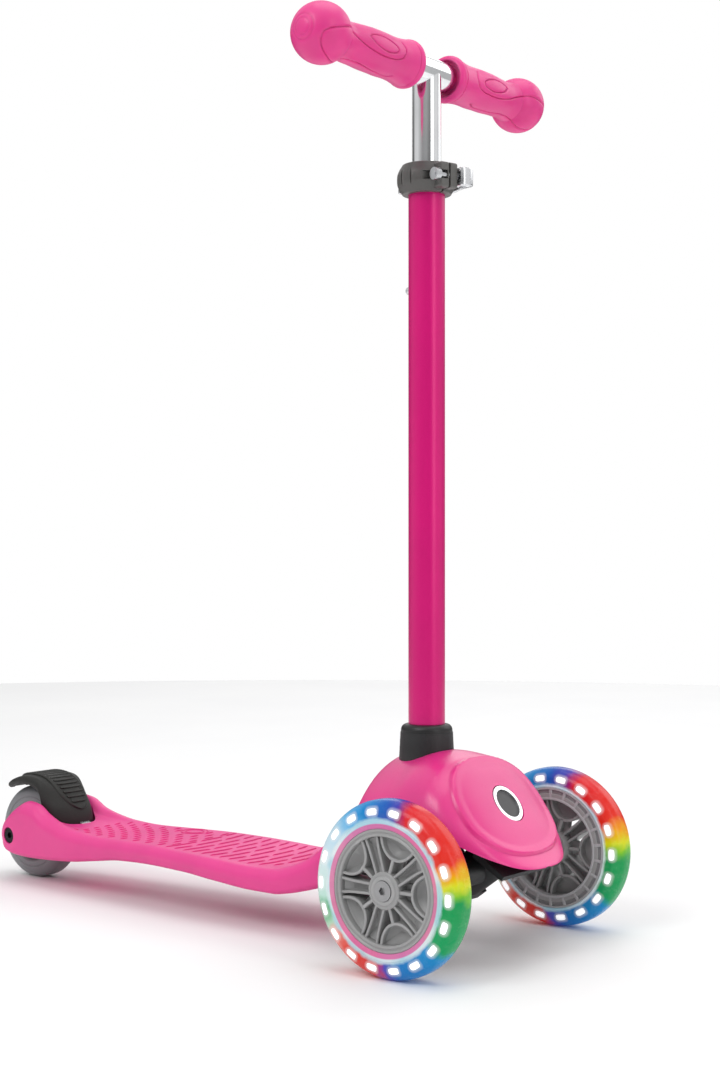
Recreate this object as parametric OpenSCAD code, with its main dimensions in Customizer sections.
// Child's three-wheel lean-to-steer kick scooter.
// +X points forward, +Y to the rider's left and +Z up. The ground is z = 0.
// The origin is under the middle of the whole scooter's length and width.

/* [Overall] */
// Distance between the front and rear axles
wheelbase = 466; // [400:1:560]
// Distance between the middles of the two front wheels
track = 213; // [200:1:260]
// Height of the crossbar's axis above the ground, at the lowest setting
bar_z = 640; // [600:1:760]
// How far the handlebar rises
height_range = 100; // [60:1:120]
// Distance between the middles of the two grip ends
grip_span = 247; // [200:1:300]
// How far the stem stands behind the front axle
stem_setback = 48; // [44:1:54]

/* [Wheels] */
// Diameter of a front wheel
front_d = 121; // [110:1:126]
// Width of a front wheel
front_w = 24; // [23:0.5:28]
// Diameter of the front hub's rim, where the tyre starts
front_rim_d = 83; // [76:1:86]
// Diameter of the rear wheel
rear_d = 80; // [76:1:84]
// Width of the rear wheel
rear_w = 24; // [23:0.5:28]
// Diameter of the rear hub's rim
rear_rim_d = 50; // [44:1:56]
// Radius of the rounded corners of a tyre's tread
tread_r = 10; // [4:0.5:11]
// Diameter of each axle bolt
axle_d = 8; // [7:0.1:9]
// Outer diameter of a wheel bearing
bearing_d = 22; // [20:1:24]
// Width of a wheel bearing
bearing_w = 7; // [6:0.5:7.5]
// Number of lamps in each light ring
lamps = 18; // [6:1:24]

/* [Stem and handlebar] */
// Outer diameter of the lower stem tube
lower_tube_d = 27; // [26:0.5:30]
// Outer diameter of the upper stem tube
upper_tube_d = 21.5; // [19:0.5:23]
// Outer diameter of the crossbar
crossbar_d = 22; // [20:0.5:24]
// Wall thickness of the three tubes
tube_wall = 1.5; // [1:0.1:2]
// Height of the top of the lower stem tube
lower_tube_top = 570; // [540:1:590]
// Diameter of a grip's barrel
grip_d = 31; // [28:0.5:36]
// Diameter of a grip's ball end
grip_ball_d = 42.6; // [38:1:48]
// Distance between the two grips' inner ends
grip_gap = 50; // [40:1:90]
// Height of the clamp collar
clamp_h = 22; // [18:1:26]
// Outer diameter of the clamp collar
clamp_d = 39; // [37:0.5:43]
// Direction in which the clamp's ears point, from straight ahead
clamp_turn = -15; // [-40:1:40]

/* [Deck and nose] */
// Height of the deck's underside at its lowest point
deck_low = 29; // [25:1:36]
// Half the deck's greatest width
deck_half = 55; // [50:1:62]
// Thickness of the moulded walls of the deck
deck_wall = 4; // [3:0.5:5]
// Half the width of the slot for the rear wheel
slot_half = 14.5; // [14.2:0.1:15]
// Thickness of the nose cover's wall
nose_wall = 3; // [2:0.5:3.5]
// Half the nose cover's greatest width
nose_half = 64; // [56:1:68]

/* [Lean steering] */
// Slope of the pivot axis above the ground
pivot_tilt = 36; // [32:1:40]
// How far the truck turns about the pivot axis to each side
lean_max = 20; // [12:1:20]
// Diameter of the pivot bolt
kingpin_d = 10; // [8:0.5:11]
// Radius of the truck's middle boss
boss_r = 15; // [14:0.5:16]
// Half the length of the truck's middle boss along the pivot bolt
boss_half = 16; // [15:0.5:17]
// Radius of the axle beam
beam_r = 12; // [11:0.5:13]
// Diameter of the steering lock's button
button_d = 22.4; // [18:0.2:24]
// Diameter of the lock's plunger
plunger_d = 5; // [4:0.5:5.5]

/* [Brake] */
// Diameter of the brake's hinge pin
brake_pin_d = 5; // [4:0.5:6]
// Half the width of the brake
brake_half = 24; // [22:0.5:25]
// Clearance between the brake and the rear wheel at rest
brake_gap = 4.5; // [4:0.5:6]

/* [Fits] */
// Radial clearance of a running fit
run_fit = 0.05; // [0.02:0.01:0.08]
// Radial clearance of a piece seated in another
seat_fit = 0.02; // [0.01:0.01:0.04]
// Clearance between faces that move past each other
face_fit = 0.3; // [0.2:0.05:0.4]

/* [Hidden] */
$fn = 64;

// Places of the axles, the stem and the pivot
front_r = front_d / 2;
rear_r = rear_d / 2;
front_axle_x = (wheelbase + rear_r - front_r) / 2;
rear_axle_x = front_axle_x - wheelbase;
stem_x = front_axle_x - stem_setback;

// Radii that many pieces share
axle_r = axle_d / 2;
bearing_r = bearing_d / 2;
lower_r = lower_tube_d / 2;
lower_bore_r = lower_r - tube_wall;
upper_r = upper_tube_d / 2;
upper_bore_r = upper_r - tube_wall;
crossbar_r = crossbar_d / 2;

// Points of an arc, from one angle to another, in 10 steps
function arc(centre, r, from, to, steps = 10) = [
    for (k = [0:steps])
        let (a = from + (to - from) * k / steps)
        centre + r * [cos(a), sin(a)]
];

// Rows whose first number rises, joined by one smooth curve and read off at x
function span_at(rows, x, k = 0) =
    k >= len(rows) - 2 || x < rows[k + 1][0] ? k : span_at(rows, x, k + 1);
function slope_at(rows, k) =
    let (a = max(k - 1, 0), b = min(k + 1, len(rows) - 1))
    (rows[b] - rows[a]) / (rows[b][0] - rows[a][0]);
function blended(rows, x) =
    let (
        k = span_at(rows, x),
        h = rows[k + 1][0] - rows[k][0],
        s = (x - rows[k][0]) / h
    )
    (2 * pow(s, 3) - 3 * pow(s, 2) + 1) * rows[k]
        + (pow(s, 3) - 2 * pow(s, 2) + s) * h * slope_at(rows, k)
        + (3 * pow(s, 2) - 2 * pow(s, 3)) * rows[k + 1]
        + (pow(s, 3) - pow(s, 2)) * h * slope_at(rows, k + 1);

// A cylinder along Y
module rod_y(r, from, to) {
    translate([0, from, 0]) rotate([-90, 0, 0]) cylinder(r = r, h = to - from);
}

// A ring along Y
module ring_y(r, bore, from, to) {
    difference() {
        rod_y(r, from, to);
        rod_y(bore, from - 1, to + 1);
    }
}

// A profile of [radius, y] turned about the Y axis
module turned_y() {
    rotate([-90, 0, 0]) rotate_extrude() children();
}

// A ring along Z
module ring_z(r, bore, from, to) {
    translate([0, 0, from]) difference() {
        cylinder(r = r, h = to - from);
        translate([0, 0, -1]) cylinder(r = bore, h = to - from + 2);
    }
}

// Side -1 is the rider's right, side 1 the left
module on_side(side) {
    mirror([0, side < 0 ? 1 : 0, 0]) children();
}

// A coil spring along Z, standing on z = 0
module coil(r, wire_r, turns, length, sides = 6, steps = 12) {
    count = turns * steps;
    rise = length - 2 * wire_r;
    rings = [
        for (i = [0:count])
            let (a = 360 * i / steps, z = wire_r + rise * i / count)
            for (k = [0:sides - 1])
                let (b = 360 * k / sides)
                [(r + wire_r * cos(b)) * cos(a), (r + wire_r * cos(b)) * sin(a), z + wire_r * sin(b)]
    ];
    skin = [
        for (i = [0:count - 1])
            for (k = [0:sides - 1])
                let (
                    a = i * sides + k,
                    b = i * sides + (k + 1) % sides,
                    c = a + sides,
                    d = b + sides
                )
                each [[a, b, d], [a, d, c]]
    ];
    ends = [
        [for (k = [sides - 1:-1:0]) k],
        [for (k = [0:sides - 1]) count * sides + k]
    ];
    polyhedron(points = rings, faces = concat(ends, skin));
}

// ---- Handlebar ----

crossbar_half = grip_span / 2;

module crossbar() {
    color("silver")
        translate([stem_x, 0, bar_z])
            ring_y(crossbar_r, crossbar_r - tube_wall, -crossbar_half, crossbar_half);
}

// The upper tube holds a slot along its rear, which the guide pin slides in
guide_z = lower_tube_top - 90;
guide_r = 2.5;
slot_r = guide_r + 0.25;
upper_tube_bottom = guide_z - height_range - 35;

module upper_stem_tube() {
    color("silver")
        difference() {
            translate([stem_x, 0, 0])
                ring_z(upper_r, upper_bore_r, upper_tube_bottom, bar_z);
            translate([stem_x, 0, bar_z])
                rod_y(crossbar_r + seat_fit, -crossbar_half, crossbar_half);
            for (z = [guide_z - height_range, guide_z])
                translate([stem_x - upper_r - 1, 0, z])
                    rotate([0, 90, 0]) cylinder(r = slot_r, h = upper_r);
            translate([stem_x - upper_r - 1, -slot_r, guide_z - height_range])
                cube([upper_r, 2 * slot_r, height_range]);
        }
}

module upper_stem_bush() {
    color("dimgray")
        translate([stem_x, 0, 0])
            ring_z(lower_bore_r - run_fit, upper_r + seat_fit, upper_tube_bottom, upper_tube_bottom + 20);
}

module grip() {
    flange_y = grip_gap / 2;
    ball_r = grip_ball_d / 2;
    barrel_r = grip_d / 2;
    ball_y = grip_span / 2;
    color("hotpink")
        translate([stem_x, 0, bar_z])
            difference() {
                turned_y()
                    polygon(concat(
                        [[0, flange_y], [barrel_r + 1, flange_y]],
                        arc([barrel_r - 1, flange_y + 4], 4, -60, 60, 6),
                        [[barrel_r - 1.5, flange_y + 12], [barrel_r, flange_y + 40]],
                        [[barrel_r + 1, ball_y - ball_r + 2]],
                        arc([0, ball_y], ball_r, -40, 90, 12)
                    ));
                rod_y(crossbar_r + seat_fit, 0, crossbar_half + seat_fit);
            }
}
module grip_right() { on_side(-1) grip(); }
module grip_left() { on_side(1) grip(); }

// ---- Lower stem ----

lower_tube_bottom = front_r + 12;
seal_z = 154;

module lower_stem_tube() {
    color("deeppink")
        difference() {
            translate([stem_x, 0, 0])
                ring_z(lower_r, lower_bore_r, lower_tube_bottom, lower_tube_top);
            translate([stem_x - lower_r - 1, 0, guide_z])
                rotate([0, 90, 0]) cylinder(r = guide_r + seat_fit, h = lower_r);
            translate([stem_x, 0, stem_bolt_z])
                rod_y(stem_bolt_r + seat_fit, -lower_r - 1, lower_r + 1);
        }
}

// The bush keeps the upper tube centred at the lower tube's mouth
top_bush_len = 40;
module stem_top_bush() {
    color("dimgray")
        translate([stem_x, 0, 0]) {
            ring_z(lower_bore_r - seat_fit, upper_r + run_fit, lower_tube_top - top_bush_len, lower_tube_top);
            ring_z(lower_r - 0.5, upper_r + run_fit, lower_tube_top, lower_tube_top + 1.5);
        }
}

// The pin stops the handlebar from turning and from being pulled out
module guide_pin() {
    head = 4.5;
    color("lightgray")
        translate([stem_x - lower_r, 0, guide_z])
            rotate([0, -90, 0])
                rotate_extrude()
                    polygon(concat(
                        [[0, -lower_r + upper_bore_r - 1], [guide_r, -lower_r + upper_bore_r - 1]],
                        [[guide_r, 0.02], [guide_r + 0.6, 0.02]],
                        arc([guide_r - 1.4, head - 2], 2, 0, 90, 6),
                        [[0, head]]
                    ));
}

module stem_seal_ring() {
    h = 6;
    outer = 19;
    color("black")
        translate([stem_x, 0, seal_z])
            rotate_extrude()
                polygon(concat(
                    [[lower_r + seat_fit, 0], [outer, 0], [outer, 1.5]],
                    arc([outer - 4.5, 1.5], 4.5, 0, 90, 8),
                    [[lower_r + seat_fit, h]]
                ));
}

// ---- Clamp ----

clamp_z = lower_tube_top - clamp_h + 1;
clamp_mid = clamp_z + clamp_h / 2;
clamp_r = clamp_d / 2;
ear_x = clamp_r + 3.5;
ear_y = 8;
clamp_bolt_r = 2.5;
lever_pin_r = 2.5;
lever_pin_y = ear_y + 7;
eye_h = 7;

module at_clamp() {
    translate([stem_x, 0, 0]) rotate([0, 0, clamp_turn]) children();
}

module clamp_collar() {
    bulge = 1.5;
    color("dimgray")
        at_clamp()
            difference() {
                union() {
                    translate([0, 0, clamp_z])
                        rotate_extrude()
                            polygon([
                                [lower_r + seat_fit, 0], [clamp_r - bulge, 0], [clamp_r, clamp_h * 0.3],
                                [clamp_r, clamp_h * 0.7], [clamp_r - bulge, clamp_h], [lower_r + seat_fit, clamp_h]
                            ]);
                    translate([lower_r + 2, -ear_y, clamp_z + 2])
                        cube([ear_x + 5 - lower_r - 2, 2 * ear_y, clamp_h - 4]);
                }
                // the split that the bolt closes
                translate([0, -1, clamp_z - 1]) cube([clamp_r + 20, 2, clamp_h + 2]);
                // two grip grooves
                for (a = [-70, -95])
                    rotate([0, 0, a])
                        translate([clamp_r - 0.6, -1, clamp_z - 1]) cube([3, 2, clamp_h + 2]);
                translate([ear_x, 0, clamp_mid])
                    rod_y(clamp_bolt_r + seat_fit, -ear_y - 1, ear_y + 1);
            }
}

module clamp_bolt() {
    color("silver")
        at_clamp()
            translate([ear_x, 0, clamp_mid])
                difference() {
                    union() {
                        rod_y(clamp_bolt_r, -ear_y - 5, lever_pin_y - 2);
                        translate([0, lever_pin_y, -eye_h / 2]) cylinder(r = 4, h = eye_h);
                    }
                    translate([0, lever_pin_y, -5]) cylinder(r = lever_pin_r + seat_fit, h = 10);
                }
}

module clamp_nut() {
    color("lightgray")
        at_clamp()
            translate([ear_x, 0, clamp_mid])
                ring_y(4.5, clamp_bolt_r + seat_fit, -ear_y - 4.5, -ear_y);
}

module clamp_lever_pin() {
    color("gray")
        at_clamp()
            translate([ear_x, lever_pin_y, clamp_mid - 7.5]) cylinder(r = lever_pin_r, h = 15);
}

// The lever's cam bears on the ear, and its handle wraps round the collar
module clamp_lever() {
    cam_r = lever_pin_y - ear_y - face_fit;
    handle_in = clamp_r + 3;
    handle_out = clamp_r + 6;
    start = 39;
    end = 196;
    color("silver")
        at_clamp()
            difference() {
                union() {
                    translate([ear_x, lever_pin_y, clamp_mid - 7]) cylinder(r = cam_r, h = 14);
                    translate([0, 0, clamp_mid - 7])
                        rotate([0, 0, start])
                            rotate_extrude(angle = end - start)
                                translate([handle_in, 0]) square([handle_out - handle_in, 14]);
                }
                translate([ear_x, lever_pin_y, clamp_mid - 8])
                    cylinder(r = lever_pin_r + run_fit, h = 16);
                // room for the bolt's eye, at every angle of the lever
                translate([ear_x, lever_pin_y, clamp_mid - eye_h / 2 - face_fit])
                    cylinder(r = cam_r + 3.5, h = eye_h + 2 * face_fit);
            }
}

// ---- Lean steering ----

// The pivot axis crosses the axle line. In its frame z runs up and forward along the
// bolt, and -x is the side that faces up.
module at_pivot() {
    translate([front_axle_x, 0, front_r]) rotate([0, 90 - pivot_tilt, 0]) children();
}

// A point of the XZ plane from its place along the pivot axis and above it
function pivot_point(along, above) = [
    front_axle_x + along * cos(pivot_tilt) - above * sin(pivot_tilt),
    front_r + along * sin(pivot_tilt) + above * cos(pivot_tilt)
];

lug_half = 14;
lug_in = boss_half + 1;
lug_out = lug_in + 10;
kingpin_r = kingpin_d / 2;
bush_r = kingpin_r + 2;
lock_above = 24.5;
button_face = 45;
plunger_r = plunger_d / 2;
button_r = button_d / 2;
button_len = 7;
stem_bolt_z = 100;
stem_bolt_r = 3;
socket_r = 19.4;
wing_half = 36;
spring_y = 25;
spring_r = 5;
spring_along = -5;
spring_from = beam_r + 1;
spring_to = 27;

// Extrudes an outline of the XZ plane to both sides of Y = 0
module slab(half) {
    translate([0, half, 0]) rotate([90, 0, 0]) linear_extrude(2 * half) children();
}

module tongue_outline(room = 0) {
    polygon([
        [tongue_x - room, deck_bottom(tongue_x) - 4],
        [tongue_x - room, deck_bottom(tongue_x) + 6 + room],
        [deck_front_x + 1, deck_bottom(deck_front_x) + 6 + room],
        [deck_front_x + 1, deck_bottom(deck_front_x) - 4]
    ]);
}

spine_half = 16;
// Height above the pivot axis that the beam reaches beside the spine, at full lean
beam_room = beam_r / cos(lean_max) + spine_half * tan(lean_max) + 2.5;

module steering_housing() {
    color("#202020")
        difference() {
            union() {
                // spine with the two lugs of the pivot and the web over the truck
                slab(spine_half)
                    polygon([
                        [deck_front_x, deck_bottom(deck_front_x)],
                        pivot_point(-lug_out, -lug_half),
                        pivot_point(-lug_in, -lug_half),
                        pivot_point(-lug_in, beam_room),
                        pivot_point(5, beam_room),
                        pivot_point(5, 34),
                        pivot_point(lug_in, 34),
                        pivot_point(lug_in, -lug_half),
                        pivot_point(lug_out, -lug_half),
                        pivot_point(lug_out, 38),
                        [stem_x + 17, 120],
                        [stem_x - 17, 112],
                        [stem_x - 36, 72],
                        [deck_front_x, deck_bottom(deck_front_x) + 20]
                    ]);
                // tongue that is screwed under the deck
                slab(28)
                    intersection() {
                        tongue_outline();
                        polygon([
                            [deck_front_x - 40, deck_bottom(tongue_x)],
                            [tongue_x, deck_bottom(tongue_x)],
                            [deck_front_x + 1, deck_bottom(deck_front_x) + 0.2],
                            [deck_front_x + 1, 90],
                            [deck_front_x - 40, 90]
                        ]);
                    }
                // socket for the stem
                translate([stem_x, 0, 66])
                    cylinder(r = socket_r + 0.9, h = 70);
                translate([stem_x, 0, 136])
                    cylinder(r1 = socket_r + 0.9, r2 = socket_r, h = seal_z - 136);
                // seats of the centring springs
                at_pivot()
                    translate([-spring_to - 5, -wing_half, -18])
                        cube([5, 2 * wing_half, 22]);
            }
            translate([stem_x, 0, lower_tube_bottom - 0.02]) cylinder(r = lower_r + seat_fit, h = 200);
            translate([stem_x, 0, stem_bolt_z]) {
                rod_y(stem_bolt_r + seat_fit, -40, 40);
                rod_y(6, -40, -17);
                rod_y(6, 17, 40);
            }
            at_pivot() {
                translate([0, 0, -lug_out - 50]) cylinder(r = kingpin_r + seat_fit, h = 2 * lug_out + 100);
                translate([0, 0, -lug_out - 60]) cylinder(r = 10, h = 60);
                translate([-lock_above, 0, 0]) cylinder(r = plunger_r + run_fit, h = 60);
            }
            at_deck_screws() {
                translate([0, 0, -1]) cylinder(r = 2 + seat_fit, h = 20);
                translate([0, 0, -10]) cylinder(r = 4.3, h = 10);
            }
        }
}

module deck_screws() {
    color("gray")
        at_deck_screws() {
            translate([0, 0, -2.4]) cylinder(r = 4, h = 2.4);
            cylinder(r = 2, h = 12);
        }
}

module stem_lock_bolt() {
    color("gray")
        translate([stem_x, 0, stem_bolt_z]) {
            rod_y(stem_bolt_r, -17, 21);
            rod_y(5.5, -21, -17);
        }
}

module stem_lock_nut() {
    color("gray")
        translate([stem_x, 0, stem_bolt_z]) ring_y(5.2, stem_bolt_r + seat_fit, 17, 21);
}

module kingpin() {
    color("silver")
        at_pivot()
            difference() {
                union() {
                    translate([0, 0, lug_out]) cylinder(r = 8, h = 6);
                    translate([0, 0, -lug_out - 9]) cylinder(r = kingpin_r, h = 2 * lug_out + 9);
                }
                translate([0, 0, lug_out + 2.5]) cylinder(r = 4.6, h = 8, $fn = 6);
            }
}

module kingpin_nut() {
    color("silver")
        at_pivot()
            translate([0, 0, -lug_out - 8])
                difference() {
                    cylinder(r = 8.5, h = 8, $fn = 6);
                    translate([0, 0, -1]) cylinder(r = kingpin_r + seat_fit, h = 10);
                }
}

module pivot_bushes() {
    color("white")
        at_pivot()
            for (up = [0, 1])
                mirror([0, 0, up]) {
                    ring_z(bush_r - seat_fit, kingpin_r + run_fit, boss_half - 12, boss_half);
                    ring_z(bush_r + 3, kingpin_r + run_fit, boss_half, lug_in - face_fit);
                }
}

module truck() {
    beam_end = track / 2 - front_w / 2 - 3;
    color("#1a1a1a")
        difference() {
            union() {
                at_pivot() {
                    translate([0, 0, -boss_half]) cylinder(r = boss_r, h = 2 * boss_half);
                    // ear with the notch that the plunger locks into
                    translate([-lock_above - 6, -5.5, boss_half - 8]) cube([lock_above + 6 - 4, 11, 8]);
                }
                translate([front_axle_x, 0, front_r]) {
                    rod_y(beam_r, -beam_end + 18, beam_end - 18);
                    for (side = [-1, 1])
                        on_side(side)
                            turned_y()
                                polygon([
                                    [0, beam_end - 18], [beam_r, beam_end - 18], [8, beam_end],
                                    [6.4, beam_end], [6.4, inner_race_y - 0.02], [0, inner_race_y - 0.02]
                                ]);
                }
                // pads under the centring springs
                for (side = [-1, 1])
                    on_side(side)
                        at_pivot()
                            translate([-spring_from, spring_y, spring_along])
                                rotate([0, 90, 0]) cylinder(r = spring_r + 3, h = 8);
            }
            at_pivot() {
                translate([0, 0, -40]) cylinder(r = bush_r, h = 80);
                translate([-lock_above, 0, 0]) cylinder(r = plunger_r + 0.2, h = 60);
            }
            for (side = [-1, 1])
                on_side(side)
                    translate([front_axle_x, 0, front_r])
                        rod_y(axle_r - 0.05 + seat_fit, beam_end - 36, inner_race_y + 1);
        }
}

// The springs stand on the truck's pads and push it back to straight ahead
module centring_springs() {
    color("gold")
        for (side = [-1, 1])
            on_side(side)
                at_pivot()
                    translate([-spring_from - face_fit, spring_y, spring_along])
                        rotate([0, -90, 0])
                            coil(spring_r, 1, 4, spring_to - spring_from - face_fit);
}

// ---- Steering lock ----

module at_lock() {
    at_pivot() translate([-lock_above, 0, 0]) children();
}

module lock_button() {
    color("#333333")
        at_lock()
            difference() {
                translate([0, 0, button_face - button_len]) cylinder(r = button_r, h = button_len);
                translate([0, 0, button_face - button_len - 1]) cylinder(r = plunger_r + seat_fit, h = 5);
            }
}

module lock_plunger() {
    tip = boss_half + 0.8;
    color("silver")
        at_lock()
            translate([0, 0, tip]) cylinder(r = plunger_r, h = button_face - button_len + 4 - tip);
}

module lock_bezel() {
    color("silver")
        at_lock() {
            ring_z(button_r + 3, button_r + run_fit, button_face - 1.5, button_face + 1.5);
            ring_z(button_r + 1.4, button_r + run_fit, button_face - 13, button_face - 1.5);
        }
}

module lock_spring() {
    color("silver")
        at_lock()
            translate([0, 0, lug_out + 0.05])
                coil(plunger_r + 1.6, 0.6, 5, button_face - button_len - lug_out - 0.1);
}

// ---- Deck ----

// Shape along the deck: part of the wheelbase, underside and top above the deck's
// lowest point, and half width as a share of the greatest
deck_shape = [
    [-0.06, -6, 21, 0.72],
    [0.04, -6, 21, 0.75],
    [0.16, -3, 21, 0.81],
    [0.28, 4, 21, 0.83],
    [0.39, 6.5, 22, 0.91],
    [0.51, 5, 20.5, 0.99],
    [0.63, 0, 18, 1],
    [0.69, 1.5, 19, 1],
    [0.735, 6, 28, 0.97],
    [0.775, 10.5, 47, 0.93]
];
deck_rows = [
    for (s = deck_shape)
        [rear_axle_x + s[0] * wheelbase, deck_low + s[1], deck_low + s[2], deck_half * s[3]]
];
deck_front_x = deck_rows[len(deck_rows) - 1][0];
deck_tail_x = rear_axle_x - 4;
function deck_bottom(x) = blended(deck_rows, x)[1];
function deck_top(x) = blended(deck_rows, x)[2];
function deck_side(x) = blended(deck_rows, x)[3];
deck_steps = 28;
deck_xs = [for (k = [0:deck_steps]) deck_tail_x + (deck_front_x - deck_tail_x) * k / deck_steps];

// Places of the four screws that hold the tongue under the deck
deck_screw_xs = [deck_front_x - 24, deck_front_x - 8];
deck_screw_y = 20;
tongue_x = deck_front_x - 32;
function tongue_z(x) =
    deck_bottom(tongue_x) + (x - tongue_x) * (deck_bottom(deck_front_x) - deck_bottom(tongue_x)) / 32;

module at_deck_screws() {
    for (x = deck_screw_xs)
        for (y = [-deck_screw_y, deck_screw_y])
            translate([x, y, tongue_z(x) + 1.5]) children();
}

module deck_outline(drop = 0) {
    polygon(concat(
        [for (x = deck_xs) [x, deck_bottom(x) - drop]],
        [for (k = [deck_steps:-1:0]) [deck_xs[k], deck_top(deck_xs[k]) - drop]]
    ));
}

// Raised cheek of an arm of the tail, round the rear axle
module cheek_outline() {
    z = rear_r;
    polygon(concat(
        [[rear_axle_x + 74, z - 12], [rear_axle_x + 21, z - 17]],
        arc([rear_axle_x, z - 2], 14, 270, 150, 8),
        arc([rear_axle_x + 20, z + 17], 14, 150, 60, 6),
        [[rear_axle_x + 44, z + 18], [rear_axle_x + 62, z + 12], [rear_axle_x + 86, z + 9]]
    ));
}

brake_x = rear_axle_x + 54;
brake_z = deck_low + 19;
cheek_in = brake_half + 3;

module deck() {
    arm_out = deck_half * 0.72;
    color("hotpink")
        difference() {
            union() {
                intersection() {
                    slab(deck_half + 1) deck_outline();
                    translate([0, 0, -10])
                        linear_extrude(200)
                            polygon(concat(
                                [for (x = deck_xs) [x, -deck_side(x)]],
                                [for (k = [deck_steps:-1:0]) [deck_xs[k], deck_side(deck_xs[k])]]
                            ));
                }
                for (side = [-1, 1])
                    on_side(side) {
                        translate([0, arm_out, 0]) rotate([90, 0, 0])
                            linear_extrude(arm_out - cheek_in) cheek_outline();
                        translate([rear_axle_x, 0, rear_r - 2]) rod_y(14, slot_half, arm_out);
                    }
            }
            // slot for the rear wheel
            translate([rear_axle_x - 50, -slot_half, 0]) cube([50 + rear_r + 6, 2 * slot_half, 120]);
            // pocket of the brake's foot
            translate([brake_x - 14, -brake_half - 1, brake_z - 13]) cube([26, 2 * brake_half + 2, 60]);
            // hollow underside, between ribs
            for (k = [0:4])
                for (side = [-1, 1])
                    on_side(side)
                        intersection() {
                            slab(200) deck_outline(deck_wall);
                            translate([brake_x + 26 + k * deck_cell, 2, 0])
                                cube([deck_cell - 3, deck_half * 0.82 - deck_wall - 2, 100]);
                        }
            // recess under the tongue of the steering housing
            slab(28 + face_fit) tongue_outline(0.1);
            at_deck_screws() cylinder(r = 2 + seat_fit, h = 12.1);
            // bores of the rear axle and the brake pin
            translate([rear_axle_x, 0, rear_r]) {
                rod_y(axle_r + seat_fit, -80, 80);
                rod_y(7.2, arm_out - 7, 80);
                rod_y(7.2, -80, -arm_out + 7);
            }
            translate([brake_x, 0, brake_z]) rod_y(brake_pin_d / 2 + seat_fit, -brake_half - 9, brake_half + 9);
        }
}
deck_cell = (deck_front_x - 36 - brake_x - 26) / 5;

// ---- Nose ----

// Shape along the nose: place from the front axle, rim height, top height, half width
// as a share of the greatest, and roundness of the section
nose_shape = [
    [-106, 39, 76, 0.78, 2.6],
    [-92, 54, 98, 0.82, 2.2],
    [-82, 68, 116, 0.85, 1.9],
    [-74, 78, 132, 0.88, 1.7],
    [-66, 84, 136.5, 0.91, 1.6],
    [-48, 92, 139, 0.95, 1.7],
    [-28, 95, 142, 0.99, 2],
    [-10, 95, 139.5, 1, 2.4],
    [2, 93, 132, 0.99, 2.6],
    [14, 87, 118, 0.95, 2.7],
    [24, 81, 105, 0.89, 2.7],
    [36, 73, 90, 0.79, 2.6],
    [47, 64, 74, 0.62, 2.4],
    [54, 58, 63, 0.4, 2.2],
    [57, 56, 58, 0.25, 2]
];
nose_steps = 22;
nose_arch = 20;

// Ring of the nose's arch at station x, drawn in by a wall
function nose_ring(x, wall, drop) =
    let (
        s = blended(nose_shape, x),
        rim = s[1] - drop,
        top = max(s[2] - wall, s[1] + 0.3),
        half = max(nose_half * s[3] - wall, 1)
    )
    [
        for (k = [0:nose_arch])
            let (a = 180 * k / nose_arch, c = cos(a))
            [
                front_axle_x + x,
                half * sign(c) * pow(abs(c), 2 / s[4]),
                rim + (top - rim) * pow(abs(sin(a)), 2 / s[4])
            ]
    ];

module nose_loft(from, to, wall, drop) {
    size = nose_arch + 1;
    points = [
        for (i = [0:nose_steps])
            each nose_ring(from + (to - from) * i / nose_steps, wall, drop)
    ];
    skin = [
        for (i = [0:nose_steps - 1])
            for (k = [0:nose_arch])
                let (
                    a = i * size + k,
                    b = i * size + (k + 1) % size,
                    c = a + size,
                    d = b + size
                )
                each [[a, d, b], [a, c, d]]
    ];
    ends = [
        [for (k = [0:nose_arch]) k],
        [for (k = [nose_arch:-1:0]) nose_steps * size + k]
    ];
    polyhedron(points = points, faces = concat(ends, skin));
}

nose_from = deck_front_x - front_axle_x + 0.1;
nose_to = 57;

// Places of the two screws that hold the under-cover to the nose
nose_screw_x = front_axle_x + 32;
nose_screw_y = 26;
nose_screw_z = front_r + 7;

module at_nose_screws() {
    for (y = [-nose_screw_y, nose_screw_y])
        translate([nose_screw_x, y, nose_screw_z]) children();
}

module nose_cover() {
    color("hotpink")
        difference() {
            union() {
                difference() {
                    nose_loft(nose_from, nose_to, 0, 0);
                    nose_loft(nose_from - 2, nose_to - 2 * nose_wall, nose_wall, 20);
                }
                intersection() {
                    nose_loft(nose_from, nose_to, 0.5, 0);
                    at_nose_screws() translate([0, 0, 5.5]) cylinder(r = 5, h = 30);
                }
            }
            translate([stem_x, 0, 100]) cylinder(r = socket_r + 1.2, h = 80);
            at_lock() {
                translate([0, 0, 20]) cylinder(r = button_r + 1.6, h = 60);
                translate([0, 0, button_face - 1.5]) cylinder(r = button_r + 3.1, h = 20);
            }
            at_nose_screws() cylinder(r = 2 + seat_fit, h = 14.1);
        }
}

module under_cover() {
    color("#202020")
        difference() {
            slab(38)
                polygon([
                    [front_axle_x + 18, 74], [front_axle_x + 42, 60],
                    [front_axle_x + 44, 63], [front_axle_x + 20, 78]
                ]);
            at_pivot() {
                translate([-60, -spine_half - face_fit, 0])
                    cube([100, 2 * (spine_half + face_fit), lug_out + 1.5]);
                cylinder(r = 9, h = lug_out + 8);
            }
            at_nose_screws() {
                translate([0, 0, -1]) cylinder(r = 2 + seat_fit, h = 14);
                translate([0, 0, -10]) cylinder(r = 4.3, h = 10);
            }
        }
}

module nose_screws() {
    color("gray")
        at_nose_screws() {
            translate([0, 0, -2.4]) cylinder(r = 4, h = 2.4);
            cylinder(r = 2, h = 14);
        }
}

// ---- Front wheels, drawn for the left side with y measured from the wheel's middle ----

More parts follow.
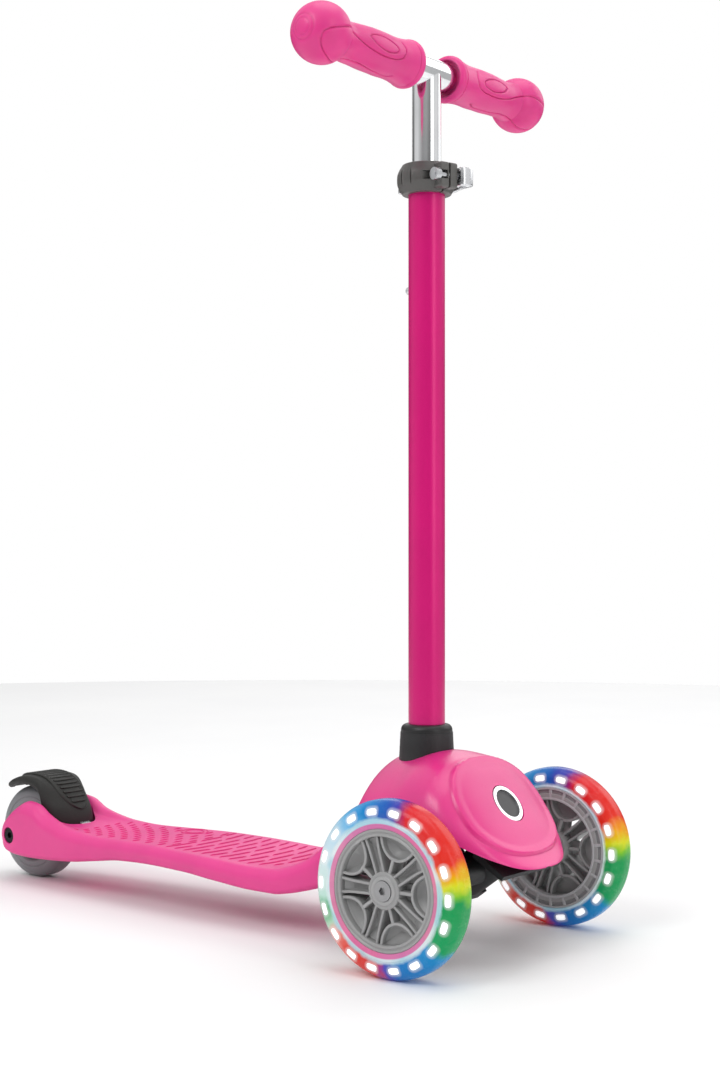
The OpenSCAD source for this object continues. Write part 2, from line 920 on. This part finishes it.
// Depth of the bolt's head in the hub and the places of the bearings
hub_half = front_w / 2 - 0.5;
head_h = 3;
outer_race_y = hub_half - head_h;
inner_race_local = -hub_half + 0.6;
inner_race_y = track / 2 + inner_race_local - 0.1;
tyre_bore_r = front_rim_d / 2;
hub_boss_r = bearing_r + 1.8;
light_r = front_r - 9;

module at_front_wheel(side) {
    on_side(side) translate([front_axle_x, track / 2, front_r]) children();
}

module tyre(outer, bore, half, corner) {
    turned_y()
        polygon(concat(
            [[bore, -half]],
            arc([outer - corner, corner - half], corner, -90, 0),
            arc([outer - corner, half - corner], corner, 0, 90),
            [[bore, half]]
        ));
}

module front_tyre(side) {
    color("lightcyan", 0.6)
        at_front_wheel(side)
            difference() {
                tyre(front_r, tyre_bore_r + seat_fit, front_w / 2, tread_r);
                ring_y(light_r + 3.4, light_r - 1.6, -5.1, 5.1);
            }
}
module front_tyre_right() { front_tyre(-1); }
module front_tyre_left() { front_tyre(1); }

module light_ring(side) {
    color("white")
        at_front_wheel(side) {
            ring_y(light_r, light_r - 1.5, -5, 5);
            for (k = [1:lamps])
                rotate([0, 360 * k / lamps, 0])
                    translate([-4, -2.5, light_r - 0.3]) cube([8, 5, 3]);
        }
}
module light_ring_right() { light_ring(-1); }
module light_ring_left() { light_ring(1); }

// Five loops that open outwards alternate with five straight ribs
module front_hub(side) {
    rim_in = tyre_bore_r - 4.5;
    web_half = 7;
    loop_r = 8.5;
    loop_at = rim_in - 6;
    loop_turn = 18 * side * -1;
    color("gray")
        at_front_wheel(side)
            difference() {
                union() {
                    ring_y(tyre_bore_r, rim_in, -hub_half, hub_half);
                    rod_y(hub_boss_r, -hub_half, hub_half);
                    for (k = [0:4])
                        rotate([0, 72 * k + loop_turn, 0]) {
                            intersection() {
                                translate([0, 0, loop_at]) ring_y(loop_r + 1.6, loop_r - 1, -web_half, web_half);
                                rod_y(rim_in + 1, -web_half, web_half);
                            }
                            translate([-1.2, -web_half, hub_boss_r - 1])
                                cube([2.4, 2 * web_half, loop_at - loop_r - hub_boss_r + 1.5]);
                            rotate([0, 36, 0])
                                translate([-1.5, -web_half, hub_boss_r - 1])
                                    cube([3, 2 * web_half, rim_in - hub_boss_r + 2]);
                        }
                }
                rod_y(bearing_r + seat_fit, -hub_half - 1, outer_race_y);
                rod_y(bearing_r - 2.5, 0, hub_half + 1);
            }
}
module front_hub_right() { front_hub(-1); }
module front_hub_left() { front_hub(1); }

module bearing() {
    ring_y(bearing_r, axle_r + run_fit - 0.05, -bearing_w, 0);
}

module front_bearings(side) {
    color("lightgray")
        at_front_wheel(side) {
            translate([0, outer_race_y - 0.02, 0]) bearing();
            translate([0, inner_race_local + bearing_w, 0]) bearing();
        }
}
module front_bearings_right() { front_bearings(-1); }
module front_bearings_left() { front_bearings(1); }

spacer_from = inner_race_local + bearing_w + 0.1;
spacer_to = outer_race_y - bearing_w - 0.12;

module bearing_spacer(side) {
    color("silver")
        at_front_wheel(side) ring_y(axle_r + 1.5, axle_r, spacer_from, spacer_to);
}
module bearing_spacer_right() { bearing_spacer(-1); }
module bearing_spacer_left() { bearing_spacer(1); }

module magnet_ring(side) {
    color("#404040")
        at_front_wheel(side) ring_y(bearing_r - 1, axle_r + 1.5 + seat_fit, spacer_from + 0.3, spacer_to - 0.3);
}
module magnet_ring_right() { magnet_ring(-1); }
module magnet_ring_left() { magnet_ring(1); }

module front_axle_bolt(side) {
    color("silver")
        at_front_wheel(side)
            difference() {
                union() {
                    rod_y(axle_r - 0.05, -track / 2 + 60, outer_race_y + 0.1);
                    rod_y(6.9, outer_race_y + 0.1, hub_half + 0.3);
                }
                translate([0, hub_half - 2, 0]) rotate([-90, 0, 0]) cylinder(r = 2.9, h = 5, $fn = 6);
            }
}
module front_axle_bolt_right() { front_axle_bolt(-1); }
module front_axle_bolt_left() { front_axle_bolt(1); }

// ---- Rear wheel ----

rear_rim_r = rear_rim_d / 2;
rear_hub_half = rear_w / 2 - 1;

module at_rear_wheel() {
    translate([rear_axle_x, 0, rear_r]) children();
}

module rear_tyre() {
    color("dimgray")
        at_rear_wheel() tyre(rear_r, rear_rim_r + seat_fit, rear_w / 2, tread_r);
}

module rear_hub() {
    color("gray")
        at_rear_wheel()
            difference() {
                rod_y(rear_rim_r, -rear_hub_half, rear_hub_half);
                rod_y(bearing_r + seat_fit, -rear_hub_half - 1, rear_hub_half + 1);
                for (k = [0:5])
                    rotate([0, 60 * k, 0])
                        translate([0, 0, (rear_rim_r + bearing_r + 1) / 2]) {
                            rod_y(4.2, 3, 20);
                            rod_y(4.2, -20, -3);
                        }
            }
}

module rear_bearings() {
    color("lightgray")
        at_rear_wheel()
            for (side = [-1, 1])
                on_side(side) translate([0, rear_hub_half, 0]) bearing();
}

module rear_bearing_spacer() {
    half = rear_hub_half - bearing_w - 0.1;
    color("silver")
        at_rear_wheel() ring_y(axle_r + 1.5, axle_r, -half, half);
}

module rear_side_spacers() {
    color("silver")
        at_rear_wheel()
            for (side = [-1, 1])
                on_side(side) ring_y(axle_r + 2.5, axle_r, rear_hub_half + 0.1, slot_half - 0.02);
}

module rear_axle_bolt() {
    seat = deck_half * 0.72 - 7;
    color("silver")
        at_rear_wheel()
            difference() {
                union() {
                    rod_y(axle_r - 0.05, -seat, seat + 5);
                    rod_y(6.5, -seat - 4, -seat);
                }
                translate([0, -seat - 5, 0]) rotate([-90, 0, 0]) cylinder(r = 2.9, h = 3.5, $fn = 6);
            }
}

module rear_axle_nut() {
    seat = deck_half * 0.72 - 7;
    color("silver")
        at_rear_wheel()
            difference() {
                translate([0, seat, 0]) rotate([-90, 0, 0]) cylinder(r = 6.8, h = 5, $fn = 6);
                rod_y(axle_r - 0.05 + seat_fit, seat - 1, seat + 6);
            }
}

// ---- Brake ----

module brake_fender() {
    pad_r = rear_r + brake_gap;
    color("#303030")
        difference() {
            union() {
                slab(brake_half)
                    polygon(concat(
                        [[brake_x - 5, brake_z - 4], [brake_x - 15, brake_z + 7]],
                        arc([rear_axle_x, rear_r], pad_r - 5, 35, 100, 8),
                        [[rear_axle_x - 28, rear_r + 34], [rear_axle_x - 30, rear_r + 38]],
                        arc([rear_axle_x, rear_r], pad_r + 7, 110, 68, 6),
                        [[brake_x - 21, brake_z + 37], [brake_x - 7, brake_z + 28], [brake_x + 2, brake_z + 18]],
                        [[brake_x + 6, brake_z + 8], [brake_x + 5, brake_z - 3]]
                    ));
                translate([brake_x, 0, brake_z]) rod_y(7, -brake_half, brake_half);
            }
            // room for the wheel
            translate([rear_axle_x, 0, rear_r]) rod_y(pad_r, -rear_w / 2 - 2, rear_w / 2 + 2);
            translate([brake_x, 0, brake_z]) rod_y(brake_pin_d / 2 + run_fit, -40, 40);
            // room for the spring
            translate([brake_x - 8.5, -7, brake_z - 10]) cube([17, 14, 17]);
        }
}

module brake_pin() {
    color("silver")
        translate([brake_x, 0, brake_z]) rod_y(brake_pin_d / 2, -brake_half - 8, brake_half + 8);
}

module brake_spring() {
    color("silver")
        translate([brake_x, -6, brake_z])
            rotate([-90, 0, 0]) coil(brake_pin_d / 2 + 1.4, 0.8, 5, 12);
}

crossbar();
upper_stem_tube();
grip_right();
grip_left();
upper_stem_bush();
lower_stem_tube();
stem_top_bush();
guide_pin();
clamp_collar();
clamp_bolt();
clamp_nut();
clamp_lever();
clamp_lever_pin();
stem_seal_ring();
steering_housing();
stem_lock_bolt();
stem_lock_nut();
deck();
deck_screws();
nose_cover();
nose_screws();
under_cover();
lock_bezel();
lock_button();
lock_plunger();
lock_spring();
kingpin();
kingpin_nut();
pivot_bushes();
centring_springs();
truck();
front_axle_bolt_right();
front_axle_bolt_left();
front_tyre_right();
front_tyre_left();
front_hub_right();
front_hub_left();
light_ring_right();
light_ring_left();
front_bearings_right();
front_bearings_left();
bearing_spacer_right();
bearing_spacer_left();
magnet_ring_right();
magnet_ring_left();
rear_tyre();
rear_hub();
rear_bearings();
rear_bearing_spacer();
rear_side_spacers();
rear_axle_bolt();
rear_axle_nut();
brake_fender();
brake_pin();
brake_spring();
